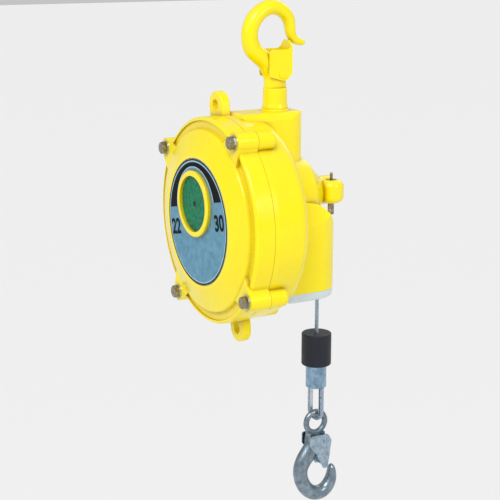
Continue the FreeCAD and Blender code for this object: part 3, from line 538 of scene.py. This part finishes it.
floor_paper = finished(
    "floor_paper", (0.93, 0.93, 0.93), (0.91, 0.91, 0.91),
    rough=(0.8, 0.9), grain=(0.002, 0.00005), sizes=(0.2, 0.3),
)
floor.data.materials.append(floor_paper)
print("rubber, plastics, print and paper: 8")

# %% [markdown]
# ## Dress the solids
# Each solid keeps its shape and gets its finish. One table says which solid wears what.

# %% Give each solid its finish
wardrobe = {
    casting_paint: ["front_cover", "rear_housing", "hub_cap"],
    forging_paint: ["top_hook"],
    sheet_paint: ["top_latch", "top_latch_pin", "hook_collar"],
    zinc: ["cover_washers", "spring_pan", "arbor", "thimble"],
    latch_steel: ["load_latch", "load_latch_pin"],
    ferrule_zinc: ["rope_ferrule"],
    dark_zinc: ["cover_bolts", "worm", "pan_screws", "guide_screws", "hook_nut"],
    black_screw: ["cap_screw"],
    forged_grey: ["load_hook"],
    bronze: ["arbor_bushes", "drum_bearings", "worm_wheel", "worm_plug", "thrust_washer"],
    spring_blue: ["mainspring"],
    alloy: ["rope_drum"],
    rope_zinc: ["rope_winding", "inner_rope", "wire_rope", "rope_loop"],
    buffer_rubber: ["rope_buffer"],
    painted_gasket: ["cover_gasket"],
    cap_green: ["ring_cap"],
    guide_nylon: ["rope_guide"],
    dial_plate: ["dial_plate"],
}
for material, names in wardrobe.items():
    for name in names:
        node_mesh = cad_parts[name].data
        node_mesh.materials.clear()
        node_mesh.materials.append(material)
print("dressed:", sum(len(names) for names in wardrobe.values()), "of", len(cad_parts))

# %% [markdown]
# ## New pieces are computed surfaces
# A tube, a strand or a printed band is a grid of points. Rings of points lie one after the
# other along the piece, each ring has the same count, and neighbours are joined by quads.

# %% A skin over rings of points


def skin(name, rings, material, body):
    """Closed mesh over rings of points, an array (rings, points in a ring, 3).

    Quad (i, j) joins point j and j + 1 of ring i to those of ring i + 1. The first and the
    last ring are closed by one face each.
    """
    count, around, _ = rings.shape
    index = np.arange(count * around).reshape(count, around)
    near = index[:-1]
    far = index[1:]
    quads = np.stack([near, np.roll(near, -1, 1), np.roll(far, -1, 1), far], axis=-1).reshape(-1, 4)
    ends = [tuple(index[0][::-1].tolist()), tuple(index[-1].tolist())]
    faces = [tuple(quad) for quad in quads.tolist()] + ends
    mesh = bpy.data.meshes.new(name)
    mesh.from_pydata(rings.reshape(-1, 3).tolist(), [], faces)
    shape = bmesh.new()
    shape.from_mesh(mesh)
    bmesh.ops.recalc_face_normals(shape, faces=shape.faces)
    shape.to_mesh(mesh)
    shape.free()
    mesh.polygons.foreach_set("use_smooth", np.ones(len(mesh.polygons), dtype=bool))
    mesh.materials.append(material)
    piece = bpy.data.objects.new(name, mesh)
    bpy.context.collection.objects.link(piece)
    if body:
        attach(piece, body)
    return piece


print("skin helper ready")

# %% [markdown]
# ## The rope
# A wire rope is six strands laid round a seventh. A bump on a plain tube would show its lay
# from the front but not at its edge, so each strand is a tube of its own, whose middle runs
# on a helix round the rope's line.

# %% Strands round a line
ROPE_RADIUS = 0.00238
STRAND_SWELL = 1.06  # neighbouring strands press into each other
STRAND_RADIUS = ROPE_RADIUS / 3 * STRAND_SWELL
OUTER_STRANDS = 6
LAY_LENGTH = 0.026
STRAND_SIDES = 10
turns = np.linspace(0, 2 * np.pi, STRAND_SIDES, endpoint=False)


def strands(name, line, across, step, body):
    """Seven strands along a line of points.

    With s the distance along the line, n = across and b = tangent x n, strand k has its
    middle at line + r (cos(2 pi s / lay + k pi / 3) n + sin(...) b), and each ring is a
    circle of the strand's radius in the plane of n and b.
    """
    tangent = np.gradient(line, axis=0)
    tangent /= np.linalg.norm(tangent, axis=1, keepdims=True)
    beside = np.cross(tangent, across)
    beside /= np.linalg.norm(beside, axis=1, keepdims=True)
    normal = np.cross(beside, tangent)
    along = np.arange(len(line)) * step
    pieces = []
    for k in range(OUTER_STRANDS + 1):
        reach = (ROPE_RADIUS - STRAND_RADIUS) * (k < OUTER_STRANDS)
        phase = 2 * np.pi * along / LAY_LENGTH + k * np.pi / 3
        middle = line + reach * (np.cos(phase)[:, None] * normal + np.sin(phase)[:, None] * beside)
        ring = (np.cos(turns)[None, :, None] * normal[:, None, :]
                + np.sin(turns)[None, :, None] * beside[:, None, :])
        rings = middle[:, None, :] + STRAND_RADIUS * ring
        pieces.append(skin(f"{name}_{k}", rings, rope_zinc, body))
    return pieces


print("strand radius in mm:", round(STRAND_RADIUS * 1000, 3))

# %% [markdown]
# ## The run below the guide
# Between guide and buffer the rope hangs straight under its load. When it is drawn out, its
# upper end stays in the case and its lower end follows the hook. The strands reach a little
# into the guide and into the buffer.

# %% The straight run
rope_low, rope_high = (Vector(corner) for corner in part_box("wire_rope"))
rope_middle = (rope_low + rope_high) / 2
STEP = 0.0012
IN_GUIDE = 0.004  # of the strands that the guide hides
IN_BUFFER = 0.002
heights = np.arange(rope_high.z + IN_GUIDE, rope_low.z - IN_BUFFER, -STEP)
straight = np.stack([
    np.full_like(heights, rope_middle.x),
    np.full_like(heights, rope_middle.y),
    heights,
], axis=1)
rope_strands = strands("rope_strand", straight, np.array([1.0, 0.0, 0.0]), STEP, None)
for strand in rope_strands:
    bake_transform(strand)
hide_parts("wire_rope")
print("strands in the straight run:", len(rope_strands))

# %% [markdown]
# ## The eye
# Below the ferrule the rope turns back in a U round the thimble and carries the load hook.
# It could be a bent copy of the straight run, but the same helix on a U-shaped line keeps
# the strands round in the bend. The U stands sixteen degrees out of the front plane.

# %% The loop below the ferrule
LOOP_TURN = math.radians(16.0)
THIMBLE_INSIDE = 0.0065
THIMBLE_SHEET = 0.0010
FERRULE_GAP = 0.0004
LOOP_RADIUS = THIMBLE_INSIDE + THIMBLE_SHEET + ROPE_RADIUS
loop_low, loop_high = (Vector(corner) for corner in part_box("rope_loop"))
bend_z = loop_low.z + ROPE_RADIUS + LOOP_RADIUS
leg = np.arange(loop_high.z - FERRULE_GAP, bend_z, -STEP)
arc = np.arange(0, np.pi, STEP / LOOP_RADIUS)
beside_axis = np.concatenate([
    np.full_like(leg, -LOOP_RADIUS),
    -LOOP_RADIUS * np.cos(arc),
    np.full_like(leg, LOOP_RADIUS),
])
down = np.concatenate([leg, bend_z - LOOP_RADIUS * np.sin(arc), leg[::-1]])
loop_line = np.stack([
    rope_middle.x + beside_axis * math.cos(LOOP_TURN),
    rope_middle.y + beside_axis * math.sin(LOOP_TURN),
    down,
], axis=1)
loop_across = np.array([-math.sin(LOOP_TURN), math.cos(LOOP_TURN), 0.0])
loop_strands = strands("loop_strand", loop_line, loop_across, STEP, "rope_end")
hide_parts("rope_loop")
print("strands in the loop:", len(loop_strands))

# %% [markdown]
# ## The dial's print
# The plate has a dark line at its edge with a pale one inside it, a dark crescent with a
# pale line under it, and the lowest and highest load. All of it is a skin of ink, thinner
# than a tenth of a millimetre in life and a little thicker here. A texture could carry it,
# but bands of mesh keep their edges sharp however near the eye comes.

# %% A band of ink
PRINT_TURN = math.radians(12.4)
PRINT_SET_IN = 0.0004
ROUND_POINTS = 145
ARC_POINTS = 97
INK = 0.00012
plate_low, plate_high = (Vector(corner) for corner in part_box("dial_plate"))
plate_face = plate_low.y
plate_middle = (plate_low + plate_high) / 2
PLATE_RADIUS = (plate_high.x - plate_low.x) / 2


def printed(name, inner, outer, ink):
    """Flat band of ink between two rows of points (u, v) on the plate's face.

    (u, v) turns by the print's angle into (x, z); the band's four long edges lie at the
    face and one ink thickness before it.
    """
    rows = []
    for row, depth in ((inner, 0.0), (outer, 0.0), (outer, INK), (inner, INK)):
        u, v = row[:, 0], row[:, 1]
        x = plate_middle.x + u * math.cos(PRINT_TURN) - v * math.sin(PRINT_TURN)
        z = plate_middle.z + u * math.sin(PRINT_TURN) + v * math.cos(PRINT_TURN)
        rows.append(np.stack([x, np.full_like(x, plate_face - depth), z], axis=1))
    piece = skin(name, np.stack(rows, axis=1), ink, "case")
    piece.data.polygons.foreach_set("use_smooth", np.zeros(len(piece.data.polygons), dtype=bool))


def circle_points(radius, start, end, count, lift=0.0):
    """Points (radius cos t, lift + radius sin t) for t from start to end."""
    t = np.linspace(start, end, count)
    return np.stack([radius * np.cos(t), lift + radius * np.sin(t)], axis=1)


print("plate radius in mm:", round(PLATE_RADIUS * 1000, 2))

# %% [markdown]
# ## Lines and crescent
# The crescent shows how the load grows as the spring is wound. Its inner edge is a circle
# round a higher middle than its outer edge, which is why it widens to both ends. The pale
# lines set it and the plate's edge off.

# %% Lines and crescent
EDGE_WIDTH = 0.0014
printed(
    "dial_edge_line",
    circle_points(PLATE_RADIUS - PRINT_SET_IN - EDGE_WIDTH, 0, 2 * np.pi, ROUND_POINTS),
    circle_points(PLATE_RADIUS - PRINT_SET_IN, 0, 2 * np.pi, ROUND_POINTS),
    dial_ink,
)
CRESCENT_OUTER = 0.0680
CRESCENT_INNER = 0.0472
CRESCENT_LIFT = 0.0164
CRESCENT_END = 0.0200
outer_start = math.asin(CRESCENT_END / CRESCENT_OUTER)
inner_start = math.asin((CRESCENT_END - CRESCENT_LIFT) / CRESCENT_INNER)
printed(
    "dial_crescent",
    circle_points(CRESCENT_INNER, inner_start, np.pi - inner_start, ARC_POINTS, CRESCENT_LIFT),
    circle_points(CRESCENT_OUTER, outer_start, np.pi - outer_start, ARC_POINTS),
    dial_ink,
)
PALE_WIDTH = 0.0010
PALE_GAP = 0.0003
pale_rim = PLATE_RADIUS - PRINT_SET_IN - EDGE_WIDTH - PALE_GAP
printed(
    "dial_pale_edge",
    circle_points(pale_rim - PALE_WIDTH, 0, 2 * np.pi, ROUND_POINTS),
    circle_points(pale_rim, 0, 2 * np.pi, ROUND_POINTS),
    dial_pale,
)
pale_reach = CRESCENT_INNER - PALE_GAP - PALE_WIDTH
pale_start = math.asin((CRESCENT_END - CRESCENT_LIFT) / pale_reach)
printed(
    "dial_pale_crescent",
    circle_points(pale_reach, pale_start, np.pi - pale_start, ARC_POINTS, CRESCENT_LIFT),
    circle_points(
        CRESCENT_INNER - PALE_GAP, pale_start, np.pi - pale_start, ARC_POINTS, CRESCENT_LIFT,
    ),
    dial_pale,
)
print("printed bands: 4")

# %% [markdown]
# ## The numbers
# The two numbers are the loads in kilograms between which the balancer is set. Drawing them
# from bands would be long, so they are Blender's own letters, made a mesh, and laid on the
# plate by plain arithmetic.

# %% The two numbers
NUMBER_HEIGHT = 0.0170
NUMBER_WIDEN = 0.94
CAPITAL_SHARE = 0.69  # of a letter's size that a figure is tall
FIGURE_SWELL = 0.00075
NUMBER_PLACES = {"22": (-0.0553, -0.0038), "30": (0.0547, -0.0038)}


def number_on_plate(word, u, v):
    """Mesh of a word, centred at (u, v) on the plate; letter x goes to u and letter y to v."""
    letters = bpy.data.curves.new("number_" + word, "FONT")
    letters.body = word
    letters.size = NUMBER_HEIGHT / CAPITAL_SHARE
    letters.extrude = INK / 2
    letters.offset = FIGURE_SWELL
    letters.align_x = "CENTER"
    letters.align_y = "CENTER"
    source = bpy.data.objects.new("number_source", letters)
    bpy.context.collection.objects.link(source)
    mesh = bpy.data.meshes.new_from_object(source)
    bpy.data.objects.remove(source)
    flat = np.empty(len(mesh.vertices) * 3)
    mesh.vertices.foreach_get("co", flat)
    flat = flat.reshape(-1, 3)
    across = u + flat[:, 0] * NUMBER_WIDEN
    upward = v + flat[:, 1]
    x = plate_middle.x + across * math.cos(PRINT_TURN) - upward * math.sin(PRINT_TURN)
    z = plate_middle.z + across * math.sin(PRINT_TURN) + upward * math.cos(PRINT_TURN)
    y = plate_face - INK / 2 - flat[:, 2]
    mesh.vertices.foreach_set("co", np.stack([x, y, z], axis=1).ravel())
    mesh.materials.clear()
    mesh.materials.append(dial_ink)
    mesh.update()
    piece = bpy.data.objects.new("number_" + word, mesh)
    bpy.context.collection.objects.link(piece)
    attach(piece, "case")


for word, (u, v) in NUMBER_PLACES.items():
    number_on_plate(word, u, v)
print("numbers:", list(NUMBER_PLACES))

# %% [markdown]
# ## Sizes
# The boxes of the solids and of the dressed balancer are printed. The dressed balancer
# has to be as large as its solids.

# %% Print the sizes and finish
size = {"cad": cad_box, "visual": [list(corner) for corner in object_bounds()]}
print("boxes:", size)
